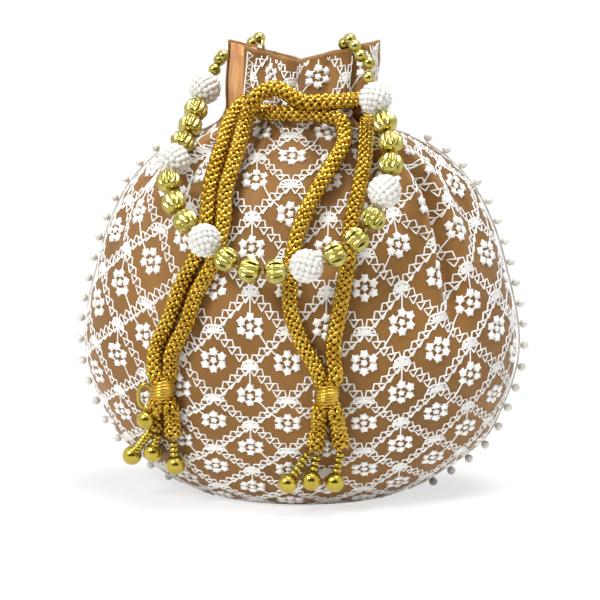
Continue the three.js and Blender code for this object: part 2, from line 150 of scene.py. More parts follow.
def mixShaders(nodes, links, share, lit, shown, out):
    mix = newNode(nodes, "MixShader")
    links.new(share, mix.inputs[0])
    links.new(lit.outputs[0], mix.inputs[1])
    links.new(shown.outputs[0], mix.inputs[2])
    links.new(mix.outputs[0], out.inputs["Surface"])


def makeWorld():
    scene.world = bpy.data.worlds.new("softbox")
    nodes, links = emptyTree(scene.world)
    lit = newNode(nodes, "Background", {"Color": studio["skyTone"], "Strength": studio["skyLight"]})
    shown = newNode(nodes, "Background", {"Color": studio["white"]})
    mixShaders(nodes, links, shownToViewer(nodes, links), lit, shown, newNode(nodes, "OutputWorld"))


def makeFloor():
    bm = bmesh.new()
    bmesh.ops.create_grid(bm, x_segments=2, y_segments=2, size=studio["floorSize"] / 2)
    floor = addToStage("floor", toMesh(bm, "floor"))
    paint = bpy.data.materials.new("floorPaint")
    nodes, links = emptyTree(paint)
    coords = newNode(nodes, "TexCoord")
    away = newNode(nodes, "VectorMath")
    away.operation = "LENGTH"
    glow = newNode(nodes, "MapRange", {
        "From Min": studio["glowFrom"], "From Max": studio["glowTo"],
        "To Min": studio["nearGlow"], "To Max": studio["farGlow"]})
    share = mathNode(nodes, "MULTIPLY")
    links.new(coords.outputs["Object"], away.inputs[0])
    links.new(away.outputs["Value"], glow.inputs["Value"])
    links.new(shownToViewer(nodes, links), share.inputs[0])
    links.new(glow.outputs["Result"], share.inputs[1])
    lit = newNode(nodes, "BsdfDiffuse", {"Color": studio["floorTone"]})
    shown = newNode(nodes, "Emission", {"Strength": studio["glowStrength"]})
    mixShaders(nodes, links, share.outputs[0], lit, shown, newNode(nodes, "OutputMaterial"))
    floor.data.materials.append(paint)
    return floor


def darkCard():  # a dark card behind the camera, which only mirrors see
    card = studio["card"]
    bm = bmesh.new()
    bmesh.ops.create_grid(bm, x_segments=1, y_segments=1, size=0.5)
    bmesh.ops.scale(bm, vec=(card["wide"], card["tall"], 1), verts=bm.verts)
    bmesh.ops.rotate(bm, cent=(0, 0, 0), matrix=Matrix.Rotation(math.pi / 2, 3, "X"), verts=bm.verts)
    bmesh.ops.translate(bm, vec=card["place"], verts=bm.verts)
    holder = addToStage("dark_card", toMesh(bm, "dark_card"))
    felt = bpy.data.materials.new("felt")
    felt.use_nodes = True
    setSockets(felt.node_tree.nodes["Principled BSDF"], {"Base Color": card["tone"], "Roughness": 1})
    holder.data.materials.append(felt)
    holder.visible_camera = False
    holder.visible_diffuse = False
    holder.visible_shadow = False
    return holder


makeCamera()
makeLamps()
makeWorld()
makeFloor()
darkCard()
print("studio ready")


# shared shader effects
def newGroup(name, inputs, outputs):  # each socket's label and kind
    tree = bpy.data.node_groups.new(name, "ShaderNodeTree")
    for way, sockets in (("INPUT", inputs), ("OUTPUT", outputs)):
        for label, kind in sockets.items():
            tree.interface.new_socket(label, in_out=way, socket_type="NodeSocket" + kind)
    return tree, tree.nodes.new("NodeGroupInput"), tree.nodes.new("NodeGroupOutput")


def makeMottle():  # patchy colour between two tones, with a fine height
    tree, source, sink = newGroup(
        "mottle",
        {"Vector": "Vector", "Tone A": "Color", "Tone B": "Color", "Patch Scale": "Float",
         "Grain Scale": "Float"},
        {"Color": "Color", "Height": "Float"})
    nodes, links = tree.nodes, tree.links
    patch = newNode(nodes, "TexNoise", {"Detail": 3})
    grain = newNode(nodes, "TexNoise", {"Detail": 2})
    blend = newNode(nodes, "Mix")
    blend.data_type = "RGBA"
    contrast = newNode(nodes, "MapRange", {"From Min": 0.3, "From Max": 0.7})
    for noise, scale in ((patch, "Patch Scale"), (grain, "Grain Scale")):
        links.new(source.outputs["Vector"], noise.inputs["Vector"])
        links.new(source.outputs[scale], noise.inputs["Scale"])
    links.new(patch.outputs["Fac"], contrast.inputs["Value"])
    links.new(contrast.outputs["Result"], blend.inputs["Factor"])
    links.new(source.outputs["Tone A"], blend.inputs["A"])
    links.new(source.outputs["Tone B"], blend.inputs["B"])
    links.new(blend.outputs["Result"], sink.inputs["Color"])
    links.new(grain.outputs["Fac"], sink.inputs["Height"])
    return tree


def makeWeave():  # warp and weft threads as two crossed waves
    tree, source, sink = newGroup(
        "weave", {"Vector": "Vector", "Warp Scale": "Float", "Weft Scale": "Float"}, {"Height": "Float"})
    nodes, links = tree.nodes, tree.links
    total = mathNode(nodes, "ADD")
    for k, (direction, scale) in enumerate((("X", "Warp Scale"), ("Y", "Weft Scale"))):
        wave = newNode(nodes, "TexWave", {"Distortion": 0.8, "Detail": 1})
        wave.bands_direction = direction
        links.new(source.outputs["Vector"], wave.inputs["Vector"])
        links.new(source.outputs[scale], wave.inputs["Scale"])
        links.new(wave.outputs["Fac"], total.inputs[k])
    links.new(total.outputs[0], sink.inputs["Height"])
    return tree


mottle = makeMottle()
weave = makeWeave()


def newMaterial(name, finish):
    material = bpy.data.materials.new(name)
    material.use_nodes = True
    nodes, links = material.node_tree.nodes, material.node_tree.links
    shader = nodes["Principled BSDF"]
    setSockets(shader, finish["shader"])
    vector = newNode(nodes, "TexCoord").outputs["UV" if finish.get("uv") else "Object"]
    patchy = newNode(nodes, "Group")
    patchy.node_tree = mottle
    setSockets(patchy, {
        "Tone A": finish["toneA"], "Tone B": finish["toneB"],
        "Patch Scale": finish["patchScale"], "Grain Scale": finish["grainScale"]})
    links.new(vector, patchy.inputs["Vector"])
    links.new(patchy.outputs["Color"], shader.inputs["Base Color"])
    bump = newNode(nodes, "Bump", {"Strength": finish["bump"], "Distance": finish["bumpDepth"]})
    height = patchy.outputs["Height"]
    if "weave" in finish:
        woven = newNode(nodes, "Group")
        woven.node_tree = weave
        setSockets(woven, {"Warp Scale": finish["weave"][0], "Weft Scale": finish["weave"][1]})
        links.new(vector, woven.inputs["Vector"])
        both = mathNode(nodes, "ADD")
        links.new(height, both.inputs[0])
        links.new(woven.outputs["Height"], both.inputs[1])
        height = both.outputs[0]
    links.new(height, bump.inputs["Height"])
    links.new(bump.outputs["Normal"], shader.inputs["Normal"])
    return material


finishes = {
    "silk": {
        "toneA": (0.2, 0.092, 0.018, 1), "toneB": (0.305, 0.143, 0.032, 1), "patchScale": 18,
        "grainScale": 700, "bump": 0.25, "bumpDepth": 0.0004, "weave": (420, 420), "uv": True,
        "shader": {"Roughness": 0.45, "Specular IOR Level": 0.25, "Sheen Weight": 0.12},
    },
    "satin": {
        "toneA": (0.36, 0.11, 0.01, 1), "toneB": (0.7, 0.37, 0.14, 1), "patchScale": 60,
        "grainScale": 500, "bump": 0.15, "bumpDepth": 0.0004, "weave": (300, 900), "uv": True,
        "shader": {"Roughness": 0.34, "Sheen Weight": 0.12, "Specular IOR Level": 0.5},
    },
    "embroidery": {
        "toneA": (0.9, 0.88, 0.84, 1), "toneB": (0.96, 0.945, 0.915, 1), "patchScale": 200,
        "grainScale": 2600, "bump": 0.35, "bumpDepth": 0.0003,
        "shader": {"Roughness": 0.5, "Sheen Weight": 0.2},
    },
    "braid": {
        "toneA": (0.4, 0.225, 0.016, 1), "toneB": (0.68, 0.45, 0.07, 1), "patchScale": 160,
        "grainScale": 1500, "bump": 0.2, "bumpDepth": 0.0002,
        "shader": {"Roughness": 0.27, "Metallic": 0.95},
    },
    "gold": {
        "toneA": (0.32, 0.26, 0.035, 1), "toneB": (0.62, 0.54, 0.18, 1), "patchScale": 240,
        "grainScale": 900, "bump": 0.06, "bumpDepth": 0.0002,
        "shader": {"Roughness": 0.2, "Metallic": 1.0},
    },
    "tasselGold": {
        "toneA": (0.46, 0.35, 0.045, 1), "toneB": (0.6, 0.47, 0.09, 1), "patchScale": 150,
        "grainScale": 900, "bump": 0.06, "bumpDepth": 0.0002,
        "shader": {"Roughness": 0.22, "Metallic": 1.0},
    },
    "pearl": {
        "toneA": (0.66, 0.645, 0.59, 1), "toneB": (0.8, 0.785, 0.735, 1), "patchScale": 120,
        "grainScale": 800, "bump": 0.05, "bumpDepth": 0.0002,
        "shader": {"Roughness": 0.25, "Coat Weight": 0.4, "Coat Roughness": 0.12},
    },
    "string": {
        "toneA": (0.5, 0.38, 0.14, 1), "toneB": (0.62, 0.5, 0.22, 1), "patchScale": 300,
        "grainScale": 2000, "bump": 0.4, "bumpDepth": 0.0003,
        "shader": {"Roughness": 0.6},
    },
}
# the trim's pearls are a copy of the pearl finish with a brighter light tone and a darker dark tone, set
# for how the light falls at the side seams: painted light and shade
finishes["trimPearlPaintedLight"] = {
    **finishes["pearl"], "toneA": (0.62, 0.61, 0.53, 1), "toneB": (0.84, 0.825, 0.76, 1),
}
materials = {name: newMaterial(name, finish) for name, finish in finishes.items()}
print("materials ready")


# pieces
def addPiece(name, bm, finish, nodes=(), body="bag"):
    mesh = toMesh(bm, name)
    mesh.materials.clear()
    mesh.materials.append(materials[finish])
    mesh.polygons.foreach_set("use_smooth", [True] * len(mesh.polygons))
    piece = bpy.data.objects.new(name, mesh)
    scene.collection.objects.link(piece)
    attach(piece, body)
    if nodes:
        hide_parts(*nodes)
    return piece


def templateMesh(make):  # one small shape that is then repeated
    bm = bmesh.new()
    make(bm)
    return toMesh(bm, "template")


def repeat(bm, template, matrices):
    for matrix in matrices:
        copy = template.copy()
        copy.transform(matrix)
        bm.from_mesh(copy)
        bpy.data.meshes.remove(copy)


# many round threads, with their lines and radius in millimetres
def threadsIn(bm, lines, radius, resolution=0):
    curve = bpy.data.curves.new("threads", "CURVE")
    curve.dimensions = "3D"
    curve.bevel_depth = radius * mm
    curve.bevel_resolution = resolution
    curve.use_fill_caps = True
    for line in lines:
        spline = curve.splines.new("POLY")
        spline.points.add(len(line) - 1)
        points = np.ones((len(line), 4))
        points[:, :3] = line * mm
        spline.points.foreach_set("co", points.ravel())
    holder = bpy.data.objects.new("threads", curve)
    scene.collection.objects.link(holder)
    depsgraph = bpy.context.evaluated_depsgraph_get()
    mesh = bpy.data.meshes.new_from_object(holder.evaluated_get(depsgraph))
    bm.from_mesh(mesh)
    bpy.data.meshes.remove(mesh)
    bpy.data.objects.remove(holder)
    bpy.data.curves.remove(curve)


def at(point):  # a move to a point in millimetres
    return Matrix.Translation(Vector(point) * mm)


def unit(rows):
    return rows / np.linalg.norm(rows, axis=-1, keepdims=True)


# pouch surface, in millimetres
pouch = {
    "width": [(0, 46), (8, 64), (31, 90), (70, 101.5), (110, 94), (139, 82.5), (155, 69), (165, 54),
              (173, 38), (180, 34.5), (202, 37)],
    "depth": [(0, 38), (8, 46), (31, 54), (70, 58), (106, 53), (139, 42), (155, 34), (165, 28),
              (173, 22), (180, 20), (202, 13)],
    "pleats": 7,
    "pleatDepth": 2.6,
    "pleatBand": (112, 174),
    "valleySharp": 1.7,
    # above the cords the header is smoother
    "smootherBand": (176, 184),
    "smoother": 0.8,
    "neck": 180,
    "rim": 202,
    "rimLift": 9,
    "frontMost": 0.98,
    "seam": 1.35,
    "cloth": 0.9,
    "slitLeft": -25,
    "slitFoot": 173,
    # degrees from the front, depth, half width in degrees, foot and top of each fold; a ridge is below 0
    "creases": [(-66, 4, 6, 92, 168), (-42, 6, 4, 112, 168), (-24, 4.5, 5, 100, 168),
                (-12, 5, 4, 132, 172), (12, 4.5, 5, 128, 170), (30, 3.5, 5, 118, 168),
                (42, -4, 4.2, 70, 172), (48, 8.5, 3.8, 60, 172), (66, 4, 6, 96, 168)],
    "headerCreases": [(-25, 3.6, 4, 176, 240), (-1, 8.5, 4.2, 158, 240),
                      (25, 3.6, 4, 176, 240), (47, 7, 4.2, 158, 240)],
    "creaseRise": 0.6,
    "creaseFade": 8,
    "lip": 0.15,
    "lipAt": 1.8,
    "slack": 0.7,
    "slackWaves": 3,
    "slackTwist": 0.045,
    "slackRise": 0.052,
    "slackStart": 0.8,
    "slackFrom": (8, 40),
    "slackTo": (120, 150),
    # the mouth's left end leans inward
    "mouthLean": 3.6,
    "leanHeights": (184, 208),
    "leanWidths": (16, 36),
}


def profileAt(points, z):
    heights, sizes = np.array(points, float).T
    spans = np.diff(heights)
    slopes = np.diff(sizes) / spans
    below, above = slopes[:-1], slopes[1:]
    turning = below * above <= 0
    middle = np.where(turning, 0, 2 * below * above / np.where(turning, 1, below + above))
    tangents = np.concatenate([slopes[:1], middle, slopes[-1:]])
    z = np.clip(z, heights[0], heights[-1])
    i = np.clip(np.searchsorted(heights, z, side="right") - 1, 0, len(spans) - 1)
    t = (z - heights[i]) / spans[i]
    ease = t * t * (3 - 2 * t)
    lean = tangents[i] * t * (1 - t) ** 2 - tangents[i + 1] * t * t * (1 - t)
    return sizes[i] + (sizes[i + 1] - sizes[i]) * ease + spans[i] * lean


def wideAt(z):
    return profileAt(pouch["width"], z)


def deepAt(z):
    return profileAt(pouch["depth"], z)


def smoothstep(x, low, high):
    t = np.clip((x - low) / (high - low), 0, 1)
    return t * t * (3 - 2 * t)


def pleatAt(z):
    return pouch["pleatDepth"] * smoothstep(z, *pouch["pleatBand"])


def bulgeAt(angle, z):  # pleats with sharp valleys, then creases, then slack below the shoulder
    valley = (0.5 - 0.5 * np.cos(pouch["pleats"] * angle)) ** pouch["valleySharp"]
    bulge = pleatAt(z) * (1 - 2 * valley) * (1 - pouch["smoother"] * smoothstep(z, *pouch["smootherBand"]))
    degrees = (np.degrees(angle) + 90) % 360 - 90
    across = np.where(degrees > 90, degrees - 180, degrees)
    for place, depth, halfWidth, foot, top in pouch["creases"] + pouch["headerCreases"]:
        away = (across - place) / halfWidth
        share = smoothstep(z, foot, foot + pouch["creaseRise"] * (top - foot))
        share = share * (1 - smoothstep(z, top, top + pouch["creaseFade"]))
        lip = pouch["lip"] * np.exp(-((np.abs(away) - pouch["lipAt"]) ** 2))
        bulge = bulge + depth * share * (lip - np.exp(-away ** 2))
    slack = np.sin(pouch["slackWaves"] * angle + pouch["slackTwist"] * z)
    slack = slack * np.sin(pouch["slackRise"] * z + pouch["slackStart"])
    band = smoothstep(z, *pouch["slackFrom"]) * (1 - smoothstep(z, *pouch["slackTo"]))
    return bulge + pouch["slack"] * slack * band


def clothAt(angle, z, lift=0.0):
    hold = np.abs(np.cos(angle)) ** 0.5  # nothing folds at the side seams
    bulge = bulgeAt(angle, z) * hold + lift
    x = (wideAt(z) + bulge) * np.sin(angle)
    y = -(deepAt(z) + bulge) * np.cos(angle)
    lean = smoothstep(z, *pouch["leanHeights"]) * smoothstep(-x, *pouch["leanWidths"])
    x = x + pouch["mouthLean"] * lean
    return np.stack([x, y, z + 0 * x], axis=-1)


def rimAt(angle):
    return pouch["rim"] + pouch["rimLift"] * np.abs(np.sin(angle))


def drawnOut(z, angle, drop=0):  # above the neck the cloth reaches up to the rim
    stretch = (rimAt(angle) - drop - pouch["neck"]) / (pouch["rim"] - pouch["neck"])
    return np.where(z > pouch["neck"], pouch["neck"] + (z - pouch["neck"]) * stretch, z)


def climbTable(count=900):  # length along the front's middle line against height
    z = np.linspace(0, pouch["rim"], count)
    reach = np.hypot(np.diff(z), np.diff(deepAt(z)))
    return z, np.concatenate([[0], np.cumsum(reach)])


climbZ, climbT = climbTable()


def frontY(x, z):
    share = np.minimum(np.abs(x) / wideAt(z), pouch["frontMost"])
    return -deepAt(z) * np.sqrt(1 - share ** 2)


# cords and routes, in millimetres
cord = {
    "diameter": 7.4,
    "clearance": 0.8,
    "ringCentre": 4,
    "ringHalfWidth": 26,
    "neckHalfDepth": 20,
    "upperRing": 184,
    "lowerRing": 178.6,
    "upperOut": 2.4,
    "knot": 11.2,
    "knotGap": 0.4,
    "knotLead": 3,
    "knotSpread": 24,
    "strandPairs": 5,
    "strandRadius": 1.06,
    "core": 2.35,
    "wave": 0.72,
    "pitch": 16.5,
    "stepsPerTurn": 36,
    "tailFlare": 1.2,
    # start, stop and step of each turn round the neck, in degrees from the front
    "upperTurn": (0, 281, 20),
    "lowerTurn": (10, -271, -20),
}
cordRadius = cord["diameter"] / 2
spread = cord["knotSpread"]
knotsAt = {"left": (-57.5, 56), "right": (17.5, 57)}
cordRoutes = {  # x, z and extra lift off the cloth, from the knot upward
    "leftInner": [(-53.2, 72, 0), (-46.4, 86, 0), (-42, 99, 0), (-35.2, 112, 0), (-32.2, 121, 0),
                  (-30.2, 132, 0), (-29.8, 144, 0), (-27, 156, 0), (-24.4, 166, 1), (-21.8, 177, 3),
                  (-17.5, 186, 5), (-9, 190, 3)],
    "leftOuter": [(-60.8, 73, 0), (-54, 89, 0), (-49.4, 102, 0), (-42.8, 115, 0), (-39.8, 122, 0),
                  (-37.8, 132, 0), (-37.4, 144, 0), (-34.6, 157, 0), (-32.2, 167, 0), (-30, 176, 0)],
    "rightInner": [(12.4, 69, 0), (7, 78, 0), (1.5, 92, 0), (0.6, 102, 0), (2.5, 123, 0),
                   (7.2, 137, 0), (12.6, 148, 0), (19, 159, 0), (22.6, 167, 0.5), (20.5, 175.6, 1.5)],
    "rightOuter": [(20.2, 71, 0), (20.4, 81, 0), (23.6, 99, 0), (25.9, 115, 0), (26.8, 131, 0),
                   (28.2, 138, 0), (30, 146, 0), (32, 159, 0), (32.2, 168, 0)],
}
sideHoles = {"left": (-25.5, -15, 182), "right": (31.5, -13, 175)}
tailRoutes = {
    "cord_tail_left_long": ("left", [(-53.7, 43, 0), (-53.5, 34, 0)]),
    "cord_tail_left_short": ("left", [(-61.4, 45, 0.6), (-61.4, 37, 1)]),
    "cord_tail_right_long": ("right", [(13.6, 42, 0), (11.8, 31, 0)]),
    "cord_tail_right_short": ("right", [(21.8, 42, 0), (23.4, 32, 0)]),
}


def overFront(point, radius):
    x, z, lift = point
    y = frontY(x, z) - pleatAt(z) - cord["clearance"] - radius - lift
    return np.array([x, float(y), z])


def between(a, b, start, end, t):
    return ((end - t) * a + (t - start) * b) / (end - start)


def smoothRoute(points, perSpan=16):  # centripetal Catmull-Rom through every point
    points = np.array(points, float)
    ends = [2 * points[0] - points[1], *points, 2 * points[-1] - points[-2]]
    line = []
    for p0, p1, p2, p3 in zip(ends, ends[1:], ends[2:], ends[3:]):
        spans = [np.linalg.norm(b - a) ** 0.5 for a, b in ((p0, p1), (p1, p2), (p2, p3))]
        t0, t1, t2, t3 = np.cumsum([0, *spans])
        for t in np.linspace(t1, t2, perSpan, endpoint=False):
            middle = between(p1, p2, t1, t2, t)
            early = between(between(p0, p1, t0, t1, t), middle, t0, t2, t)
            late = between(middle, between(p2, p3, t2, t3, t), t1, t3, t)
            line.append(between(early, late, t1, t2, t))
    line.append(points[-1])
    return np.array(line)


def evenSteps(line, step):
    reach = np.concatenate([[0], np.cumsum(np.linalg.norm(np.diff(line, axis=0), axis=1))])
    marks = np.linspace(0, reach[-1], max(2, int(round(reach[-1] / step)) + 1))
    return np.stack([np.interp(marks, reach, line[:, k]) for k in range(3)], axis=1), marks


def crosswise(line):  # two directions across the line, carried along it without twist
    tangents = unit(np.gradient(line, axis=0))
    side = np.cross(tangents[0], (0, 1, 0))
    sides = []
    for tangent in tangents:
        side = unit(side - tangent * side.dot(tangent))
        sides.append(side)
    sides = np.array(sides)
    return sides, np.cross(tangents, sides)


# two sets of strands wound opposite ways, each over one and under one
def braidLines(line, size=1.0, flare=1.0):
    pairs = cord["strandPairs"]
    step = cord["pitch"] / cord["stepsPerTurn"]
    centre, reach = evenSteps(line, step)
    sides, fronts = crosswise(centre)
    turn = 2 * math.pi * reach / cord["pitch"]
    swell = size * (1 + (flare - 1) * reach / reach[-1])
    lines = []
    for way in (1, -1):
        for k in range(pairs):
            angle = way * turn + 2 * math.pi * k / pairs
            radius = swell * (cord["core"] + way * cord["wave"] * np.cos(pairs * angle))
            aside = sides * (radius * np.cos(angle))[:, None]
            lines.append(centre + aside + fronts * (radius * np.sin(angle))[:, None])
    return lines


def knotCentre(which):
    x, z = knotsAt[which]
    return overFront((x, z, 0), cord["knot"] / 2)


def knotLead(which, degrees):
    outward = np.array([math.sin(math.radians(degrees)), 0, math.cos(math.radians(degrees))])
    near = cord["knot"] / 2 + cord["knotGap"]
    return [knotCentre(which) + outward * reach for reach in (near, near + cord["knotLead"])]


def ringTurns(turns, z, out=0):
    deep = cord["neckHalfDepth"] + pouch["pleatDepth"] + cordRadius + cord["clearance"] + out
    points = []
    for degrees in range(*turns):
        turn = math.radians(degrees)
        x = cord["ringCentre"] + cord["ringHalfWidth"] * math.sin(turn)
        points.append(np.array([x, -deep * math.cos(turn), z]))
    return points


def onRoute(points):
    return [overFront(point, cordRadius) for point in points]


def makeBraid(name, line, nodes, flare=1.0):
    bm = bmesh.new()
    threadsIn(bm, braidLines(line, 1.0, flare), cord["strandRadius"])
    return addPiece(name, bm, "braid", nodes)


# up from the knot, round the neck, through the side hole and down to the knot
def cordLine(side, lean, turns):
    up = [*knotLead(side, lean), *onRoute(cordRoutes[side + "Inner"])]
    down = [*knotLead(side, -lean), *onRoute(cordRoutes[side + "Outer"])][::-1]
    return smoothRoute([*up, *turns, np.array(sideHoles[side]), *down])


upperTurns = ringTurns(cord["upperTurn"], cord["upperRing"], cord["upperOut"])
lowerTurns = ringTurns(cord["lowerTurn"], cord["lowerRing"])
cordLines = {"left": cordLine("left", spread, upperTurns), "right": cordLine("right", -spread, lowerTurns)}
for side, line in cordLines.items():
    makeBraid("braid_cord_" + side, line, ["draw_cord_" + side])
print("draw cords braided")

for tailName, (side, route) in tailRoutes.items():
    lean = math.copysign(spread, route[0][0] - knotsAt[side][0])
    tailLine = smoothRoute([*knotLead(side, 180 - lean), *onRoute(route)])
    makeBraid("braid_" + tailName, tailLine, [tailName], cord["tailFlare"])
print("cord tails braided")


# cloth panels and lining
sheets = {
    "columns": 170,
    "rows": 150,
    "baseShare": 0.09,
    "baseLength": 38,
    "widestHeight": 70,
    "seamDepth": 58,
    "slitReach": 6,
    "middle": (0, 0, 0.09),
    "weld": 1e-6,
    "liningColumns": 150,
    "liningRows": 60,
    "liningInset": 1.2,
    "liningCloth": 0.8,
    "liningDrop": 1.3,
}


def clothSheet(firstAngle, lastAngle, columns, rows, lift, drop=0):
    bm = bmesh.new()
    bmesh.ops.create_grid(bm, x_segments=columns, y_segments=rows, size=0.5)
    bm.verts.ensure_lookup_table()
    grid = np.array([v.co[:2] for v in bm.verts]) + 0.5
    angle = firstAngle + (lastAngle - firstAngle) * grid[:, 0]
    share = np.clip((grid[:, 1] - sheets["baseShare"]) / (1 - sheets["baseShare"]), 0, 1)
    z = drawnOut(np.interp(share * climbT[-1], climbT, climbZ), angle, drop)
    place = clothAt(angle, z, lift)
    under = np.clip(grid[:, 1] / sheets["baseShare"], 0, 1)
    flatY = pouch["seam"] * np.sign(np.cos(angle))
    place[:, 1] = np.where(under < 1, flatY + (place[:, 1] - flatY) * under, place[:, 1])
    place[:, 2] = np.maximum(place[:, 2], -lift)
    uv = bm.loops.layers.uv.new("cloth")
    wide = wideAt(np.full_like(angle, sheets["widestHeight"]))
    flat = np.stack([angle * wide, share * climbT[-1] + under * sheets["baseLength"]], axis=1)
    for vert, point in zip(bm.verts, place * mm):
        vert.co = point
    for face in bm.faces:
        for loop in face.loops:
            loop[uv].uv = flat[loop.vert.index] * mm
    return bm


def cutSlit(bm):
    foot = pouch["slitFoot"] * mm
    edge = pouch["slitLeft"] * mm
    front = -0.5 * mm
    for place, normal in (((0, 0, foot), (0, 0, 1)), ((edge, 0, 0), (1, 0, 0))):
        near = [f for f in bm.faces if f.calc_center_median().z > foot - sheets["slitReach"] * mm]
        geom = list({v for f in near for v in f.verts}) + list({e for f in near for e in f.edges}) + near
        bmesh.ops.bisect_plane(bm, geom=geom, dist=sheets["weld"], plane_co=place, plane_no=normal)
    gone = []
    for face in bm.faces:
        c = face.calc_center_median()
        if c.x < edge and c.z > foot and c.y < front:
            gone.append(face)
    bmesh.ops.delete(bm, geom=gone, context="FACES")


def faceOutward(bm):
    bmesh.ops.recalc_face_normals(bm, faces=bm.faces)
    middle = Vector(sheets["middle"])
    lean = sum((f.calc_center_median() - middle).dot(f.normal) for f in bm.faces)
    if lean < 0:
        bmesh.ops.reverse_faces(bm, faces=bm.faces)


def thicken(piece, thickness):
    wall = piece.modifiers.new("thickness", "SOLIDIFY")
    wall.thickness = thickness * mm
    wall.offset = -1


def makePanel(name, node, middle):
    over = np.arcsin(pouch["seam"] / sheets["seamDepth"])
    reach = math.pi / 2 + (over if middle == 0 else -over)
    bm = clothSheet(middle - reach, middle + reach, sheets["columns"], sheets["rows"], 0)
    if middle == 0:
        cutSlit(bm)
    faceOutward(bm)
    piece = addPiece(name, bm, "silk", [node])
    thicken(piece, pouch["cloth"])
    return piece


frontPanel = makePanel("silk_front", "front_panel", 0)
backPanel = makePanel("silk_back", "back_panel", math.pi)


def makeLining():
    bm = clothSheet(-math.pi, math.pi, sheets["liningColumns"], sheets["liningRows"],
                    -sheets["liningInset"], sheets["liningDrop"])
    bmesh.ops.remove_doubles(bm, verts=bm.verts, dist=sheets["weld"])
    faceOutward(bm)
    piece = addPiece("satin_pouch", bm, "satin", ["satin_lining"])
    thicken(piece, sheets["liningCloth"])
    return piece


lining = makeLining()
print("cloth made")


# trellis embroidery, drawn flat and laid on the cloth by arc length
stitch = {
    "columnsEachSide": 9,
    "rowsEachSide": 5,
    "columnPitch": 17.0,
    "firstColumn": -17.5,
    "period": 29.0,
    # rows of the flat pattern and how far up the cloth each one lies
    "patternRows": [-40, -21, 4, 33, 62, 91, 120, 149, 200, 300],
    "clothRows": [-10, 0, 13.9, 35, 59.1, 90.8, 125.7, 158, 200, 300],
    "motifTall": 0.77,
    # toward the side seams the rows climb
    "climbFrom": 42.0,
    "climbLeft": 0.3,
    "climbRight": 0.17,
    # the gathered shoulders draw the outer columns toward the neck
    "straightHalf": 30.0,
    "leanFrom": 100.0,
    "leanMost": 0.62,
    "flowerRow": 91.0,
    "apexAbove": 11.5,
    "thread": 0.38,
    "lift": 0.2,
    "longest": 2.0,
    # half width, height and depth of the cleft of each kind of fan
    "domeFan": (3.9, 4.9, 0.0),
    "bowFan": (5.0, 5.2, 0.35),
    "fanSpokes": 8,
    "fanSpan": (-4, 188),
    "cleftWidth": 1.1,
    "fanInner": 0.55,
    "chainSteps": 5,
    "chainWidth": 5.6,
    "chainRise": 0.1,
    "chainMiddle": 0.7,
    "chainFoot": 0.6,
    "chainNext": 0.5,
    "ringRadius": 4.6,
    "petals": 6,
    # a sprig below each second flower, toward the middle of the panel
    "sprig": [(4.1, -2.6), (8.5, -8.6), (13, -12.2)],
    "sprigTurns": 16,
    "starPoints": 5,
    "starRadius": 2.5,
    "starTop": 0.85,
    "starNotch": 0.68,
    "starCrown": 0.3,
    "starTurn": 1.2,
    "starTall": 0.9,
    "starProbe": 2.0,
    "starNarrowest": 0.5,
    "starMargin": 6,
    "centreStar": 0.8,
    "starHeight": 0.9,
    # above the draw cords the gathers take in the cloth on both sides of one flower
    "headerBand": (164, 182),
    "headerShift": -7.0,
    "headerFlower": 9.5,
    "headerFree": 7.0,
    "headerTaken": 0.45,
    "slitLace": 3.4,
    "slitLaceStep": 1.7,
    "slitLaceEdge": 0.8,
    "seamMargin": 2.0,
    "baseMargin": 1.0,
    "rimMargin": 0.8,
}


def arcTable(rows=420, halfColumns=180):  # length round the front from its middle, at each height and angle
    z = np.linspace(0, pouch["rim"], rows)
    angles = np.linspace(-math.pi / 2, math.pi / 2, 2 * halfColumns + 1)
    wide = wideAt(z)[:, None]
    deep = deepAt(z)[:, None]
    rate = np.hypot(wide * np.cos(angles), deep * np.sin(angles))
    lengths = (rate[:, 1:] + rate[:, :-1]) / 2 * (angles[1] - angles[0])
    total = np.concatenate([np.zeros((rows, 1)), np.cumsum(lengths, axis=1)], axis=1)
    return z, angles, total - total[:, halfColumns:halfColumns + 1]


arcZ, arcAngles, arcReach = arcTable()


def rowUp(t):
    return np.interp(t, stitch["patternRows"], stitch["clothRows"])


def flatToCloth(flat):  # flat pattern points to angle, height and whether the cloth is there
    s, t = flat.T
    pastClimb = np.maximum(np.abs(s) - stitch["climbFrom"], 0)
    t = rowUp(t + pastClimb * np.where(s < 0, stitch["climbLeft"], stitch["climbRight"]))
    z = np.interp(t, climbT, climbZ)
    inHeader = smoothstep(z, *stitch["headerBand"])
    s = s + stitch["headerShift"] * inHeader
    aside = s - stitch["headerFlower"]
    taken = np.sign(aside) * np.maximum(np.abs(aside) - stitch["headerFree"], 0)
    s = s - inHeader * stitch["headerTaken"] * taken
    row = np.clip(np.round(z / pouch["rim"] * (len(arcZ) - 1)).astype(int), 0, len(arcZ) - 1)
    straight = stitch["straightHalf"]
    widest = np.interp(stitch["leanFrom"], arcZ, arcReach[:, -1])
    lean = np.clip((arcReach[row, -1] - straight) / (widest - straight), stitch["leanMost"], 1)
    drawnIn = np.maximum(np.abs(s) - straight, 0) * np.where(z > stitch["leanFrom"], 1 - lean, 0)
    s = s - np.sign(s) * drawnIn
    angle = np.zeros(len(z))
    for r in np.unique(row):
        angle[row == r] = np.interp(s[row == r], arcReach[r], arcAngles)
    inside = np.abs(s) < arcReach[row, -1] - stitch["seamMargin"]
    inside &= (t > stitch["baseMargin"]) & (t < climbT[-1] - stitch["rimMargin"])
    return angle, drawnOut(z, angle), inside


def onPanel(angle, z, middle, lift, turnStep=0.002, riseStep=0.3):
    turn = angle if middle == 0 else math.pi + angle
    here = clothAt(turn, z)
    across = clothAt(turn + turnStep, z) - clothAt(turn - turnStep, z)
    climb = clothAt(turn, z + riseStep) - clothAt(turn, z - riseStep)
    normal = unit(np.cross(across, climb))
    return here + normal * lift, normal, unit(across)


